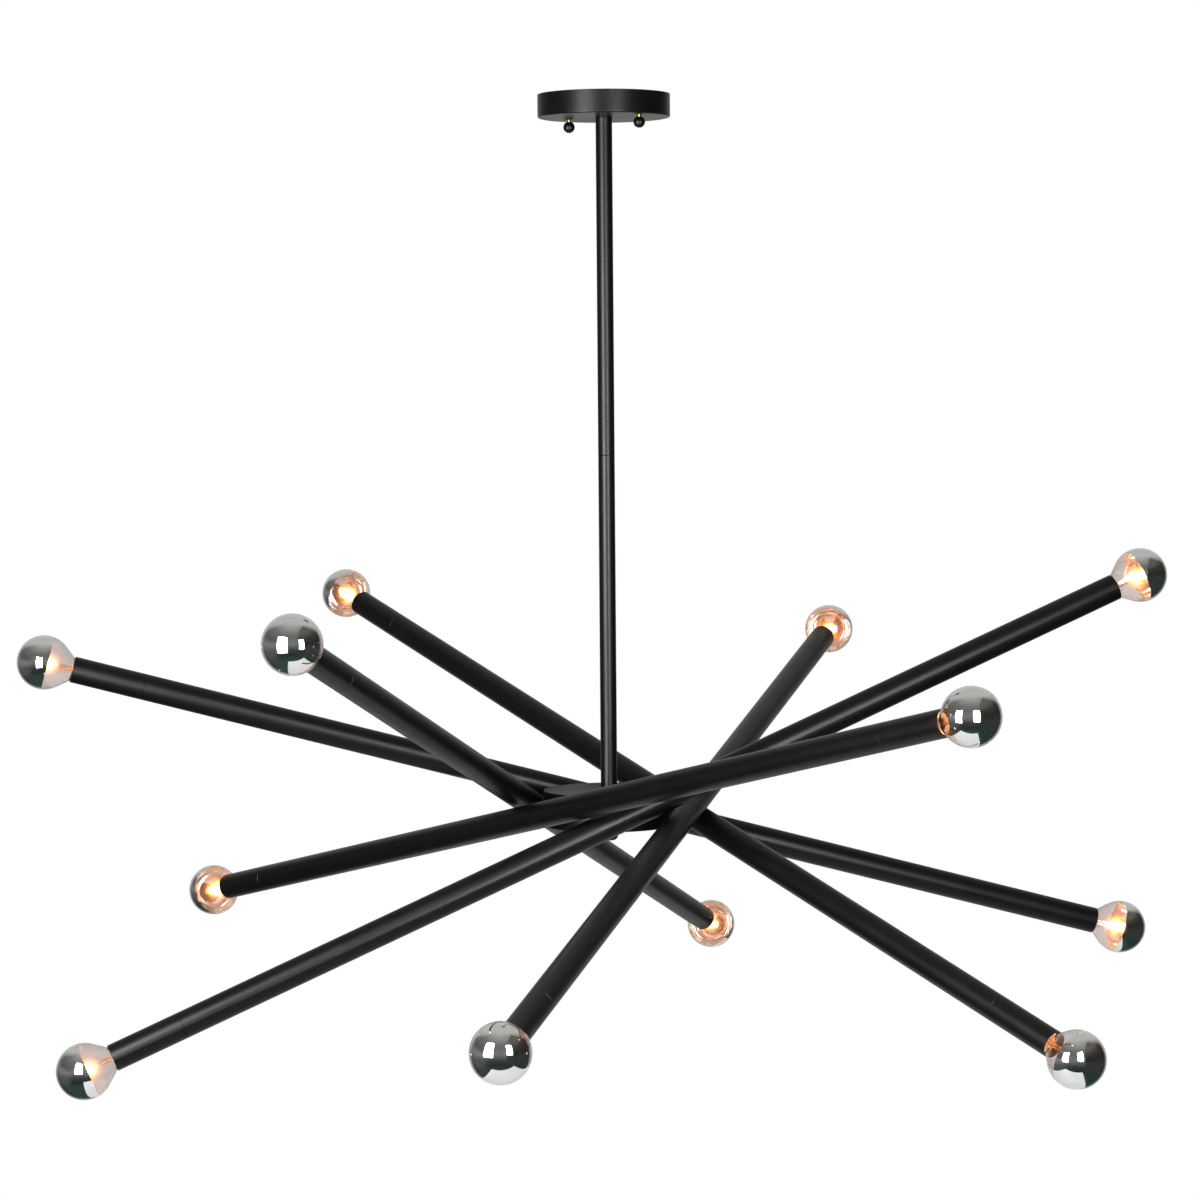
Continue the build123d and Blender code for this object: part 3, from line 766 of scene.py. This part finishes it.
def screw_cap(lamp, looks):
    """Screw cap of brass, black glass and solder."""
    bm = bmesh.new()
    cap_shell(bm, lamp)
    cap_end(bm, lamp)
    finishes = [looks["cap_brass"], looks["black_glass"], looks["solder"]]
    stands_for = [f"{lamp.body}_base"]
    piece(f"{lamp.body}_cap", bm, lamp.body, finishes, lamp.place, stands_for)


def build_lamps(looks):
    """Every lamp on both ends of every arm."""
    bodies = sorted(j["child"] for j in frame["joints"] if j["child"].startswith("lamp_"))
    for index, body in enumerate(bodies):
        lamp = Lamp(body, index * LAMP_TURN)
        for make in (glass_envelope, silver_bowl, lamp_mount, filament, glow, screw_cap):
            make(lamp, looks)


# Fixture


def canopy_screws(looks):
    """Two threaded brass screws in place of the plain ones."""
    low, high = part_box("canopy_screws")
    radius = (high.y - low.y) / 2
    bottom, top = low.z + SCREW_CHAMFER, high.z - SCREW_CHAMFER
    tip = radius - SCREW_CHAMFER
    swell = thread(SCREW_PITCH, SCREW_THREAD_DEPTH, bottom, top)
    bm = bmesh.new()
    for x in (low.x + radius, high.x - radius):
        start = len(bm.verts)
        rod = [(radius, z) for z in heights(bottom, top, SCREW_PITCH / SCREW_THREAD_STEPS)]
        outline = [(0.0, low.z), (tip, low.z)] + rod + [(tip, high.z), (0.0, high.z)]
        lathe(bm, outline, SCREW_SIDES, 0, swell)
        bm.verts.ensure_lookup_table()
        for vert in bm.verts[start:]:
            vert.co.x += x
    piece("canopy_screw_threads", bm, "fixture", [looks["brass"]], replaced=["canopy_screws"])


def dress_nodes(looks):
    """Finishes for the CAD nodes that stay as they are, by their slot in the record."""
    finishes = {"black_paint": looks["paint"], "zinc_steel": looks["zinc"], "brass": looks["brass"],
                "socket_plastic": looks["socket"]}
    for part in frame["record"]["subparts"]:
        slots = nodes[part["node"]].material_slots
        if part["material_slot"] in finishes:
            slots[0].material = finishes[part["material_slot"]]
    nodes["canopy"].material_slots[0].material = looks["canopy_paint"]


def make_looks():
    """Every material, by what it is for."""
    return {
        "paint": black_paint(),
        "canopy_paint": black_paint("canopy_paint", chipped_above=CHIPPED_RIM),
        "zinc": metal("zinc_steel", (0.40, 0.41, 0.43), (0.60, 0.61, 0.62), 0.28, 180),
        "brass": metal("brass", (0.62, 0.38, 0.13), (0.83, 0.60, 0.27), 0.2, 400),
        "cap_brass": metal("cap_brass", (0.66, 0.50, 0.26), (0.84, 0.70, 0.42), 0.2, 300),
        "solder": metal("solder", (0.42, 0.42, 0.43), (0.62, 0.62, 0.63), 0.35, 700),
        "black_glass": moulding("black_glass", (0.012, 0.012, 0.016), (0.03, 0.03, 0.04), 0.12),
        "socket": moulding("socket_plastic", (0.74, 0.72, 0.66), (0.86, 0.84, 0.79), 0.45),
        "front_glass": clear_glass("front_glass", (0.96, 0.96, 0.96), (0.985, 0.985, 0.985)),
        "glass": clear_glass("lamp_glass", (0.725, 0.708, 0.692), (0.75, 0.733, 0.717)),
        # the stem glass's orange tint is painted light: it stands in for the filament's glow in the glass
        "stem_glass": clear_glass("stem_glass", (0.86, 0.62, 0.42), (0.90, 0.70, 0.52),
                                  STEM_ROUGHNESS, STEM_IOR),
        "silver": silvering("silvering", (0.91, 0.91, 0.90), (0.95, 0.95, 0.945), 0.03, 1.0),
        "silver_back": silvering("silvering_back", (0.80, 0.77, 0.75), (0.86, 0.83, 0.81), 0.11, 0.97),
        "filament": hot_wire(),
        "lead": lead_wire(),
        "glow": filament_glow(),
    }


# Stage, light and camera


def pale_paper(name, dark, light):
    """Dull paper of a faintly uneven tone. Returns its material, the tree and the shader."""
    material, tree, shader = new_material(name)
    cloud = noise(tree, object_place(tree), 3, detail=3)
    tree.links.new(tone(tree, cloud, dark, light), shader.inputs["Base Color"])
    shader.inputs["Roughness"].default_value = 0.7
    return material, tree, shader


def floor_paper():
    """Paper that for the camera fades out before its edge and can't be seen from below."""
    material, tree, shader = pale_paper("floor", (0.93, 0.93, 0.93), (0.95, 0.95, 0.95))
    solid = spread(tree, from_centre(tree, object_place(tree)), 1.0, 0.0, *FLOOR_FADE)
    direct = add(tree, "ShaderNodeLightPath").outputs["Is Camera Ray"]
    solid = math_node(tree, "MAXIMUM", solid, math_node(tree, "LESS_THAN", direct, 0.5))
    above = math_node(tree, "LESS_THAN", add(tree, "ShaderNodeNewGeometry").outputs["Backfacing"], 0.5)
    tree.links.new(math_node(tree, "MULTIPLY", solid, above), shader.inputs["Alpha"])
    return material


def sheet(name, material, drop, sides, ends):
    """Level sheet of paper so far below the ceiling."""
    corners = [(sides[1], ends[1]), (sides[1], ends[0]), (sides[0], ends[0]), (sides[0], ends[1])]
    bm = bmesh.new()
    bm.faces.new([bm.verts.new(RIGHT * aside + NEAR * ahead) for aside, ahead in corners])
    mesh = bpy.data.meshes.new(name)
    bm.to_mesh(mesh)
    bm.free()
    mesh.materials.append(material)
    made = bpy.data.objects.new(name, mesh)
    made.location.z = cad_high.z - drop
    bpy.context.scene.collection.objects.link(made)
    return made


def floor():
    """The floor under the object, and above it the card that reflections show in its place."""
    ground = sheet("floor", floor_paper(), ROOM_HEIGHT, FLOOR_SIDES, FLOOR_ENDS)
    ground.visible_glossy = False
    ground.visible_transmission = False
    paper = pale_paper("card", (0.755, 0.80, 0.82), (0.785, 0.835, 0.855))[0]
    card = sheet("card", paper, CARD_DROP, CARD_SIDES, CARD_ENDS)
    card.visible_camera = False
    card.visible_diffuse = False
    card.visible_shadow = False


def studio_colours(tree):
    """What metal shows of the studio: three sides by height, then the ceiling and the backdrop."""
    direction = add(tree, "ShaderNodeTexCoord").outputs["Generated"]
    upward = along(tree, direction, UP)
    aside = along(tree, direction, RIGHT)
    level = spread(tree, upward, 0.0, 1.0, -1.0, 1.0)
    ahead, left, right = (ramp(tree, level, stops) for stops in (STUDIO_AHEAD, STUDIO_LEFT, STUDIO_RIGHT))
    studio = mix_colour(tree, spread(tree, aside, 0.0, 1.0, *LEFT_FADE), left, ahead)
    edge = math_node(tree, "MAXIMUM", math_node(tree, "MULTIPLY", upward, CEILING_SLANT), RIGHT_EDGE)
    past_edge = math_node(tree, "SUBTRACT", aside, edge)
    studio = mix_colour(tree, spread(tree, past_edge, 0.0, 1.0, 0.0, RIGHT_FADE), studio, right)
    overhead = along(tree, direction, CEILING_SPREAD * UP - NEAR)
    studio = mix_colour(tree, spread(tree, overhead, 0.0, 1.0, *CEILING_FADE), studio, CEILING)
    front = spread(tree, along(tree, direction, NEAR), 0.0, 1.0, *BACKDROP_EDGE)
    return mix_colour(tree, front, BACKDROP, studio)


def studio_world():
    """White for the camera, the studio in reflections and an even light on dull surfaces."""
    world = bpy.data.worlds.new("studio")
    world.use_nodes = True
    bpy.context.scene.world = world
    tree = world.node_tree
    path = add(tree, "ShaderNodeLightPath")
    reflected = math_node(tree, "GREATER_THAN", path.outputs["Glossy Depth"], 0.5)
    seen = mix_colour(tree, reflected, (1.0, 1.0, 1.0), studio_colours(tree))
    light = mix_colour(tree, path.outputs["Is Diffuse Ray"], seen, FILL)
    tree.links.new(light, tree.nodes["Background"].inputs["Color"])


def area_light(name, place, aim, size, radiance):
    """Rectangular soft light with an even radiance, which the camera itself does not see."""
    light = bpy.data.lights.new(name, "AREA")
    light.shape = "RECTANGLE"
    light.size, light.size_y = size
    light.energy = radiance * math.pi * size[0] * size[1]
    made = bpy.data.objects.new(name, light)
    made.location = place
    made.rotation_euler = (aim - place).to_track_quat("-Z", "Y").to_euler()
    made.visible_camera = False
    bpy.context.scene.collection.objects.link(made)
    return made


def studio_lights():
    """Two softboxes between the camera and the object, and a wide soft light overhead."""
    middle = (cad_low + cad_high) / 2
    for name, aside, distance, height, size, radiance in SOFTBOXES:
        place = CAMERA_PLACE + RIGHT * aside - NEAR * distance
        place.z = height
        shine = area_light(name, place, Vector((middle.x, middle.y, height)), size, radiance)
        shine.visible_diffuse = False
    above = Vector((0, 0, OVERHEAD_HEIGHT))
    overhead = area_light("overhead", above, middle, OVERHEAD_SIZE, OVERHEAD_RADIANCE)
    overhead.visible_glossy = False
    overhead.visible_transmission = False


def camera():
    """The photograph's view."""
    data = bpy.data.cameras.new("camera")
    data.sensor_width = SENSOR_WIDTH_MM
    data.lens = FOCAL_LENGTH_MM
    made = bpy.data.objects.new("camera", data)
    turn = Matrix.Rotation(CAMERA_AZIMUTH, 4, "Z") @ Matrix.Rotation(math.pi / 2 + CAMERA_PITCH, 4, "X")
    made.matrix_world = Matrix.Translation(CAMERA_PLACE) @ turn @ Matrix.Rotation(CAMERA_ROLL, 4, "Z")
    bpy.context.scene.collection.objects.link(made)
    bpy.context.scene.camera = made


looks = make_looks()
dress_nodes(looks)
canopy_screws(looks)
build_lamps(looks)
floor()
studio_world()
studio_lights()
camera()
bpy.context.scene.view_settings.view_transform = "Standard"
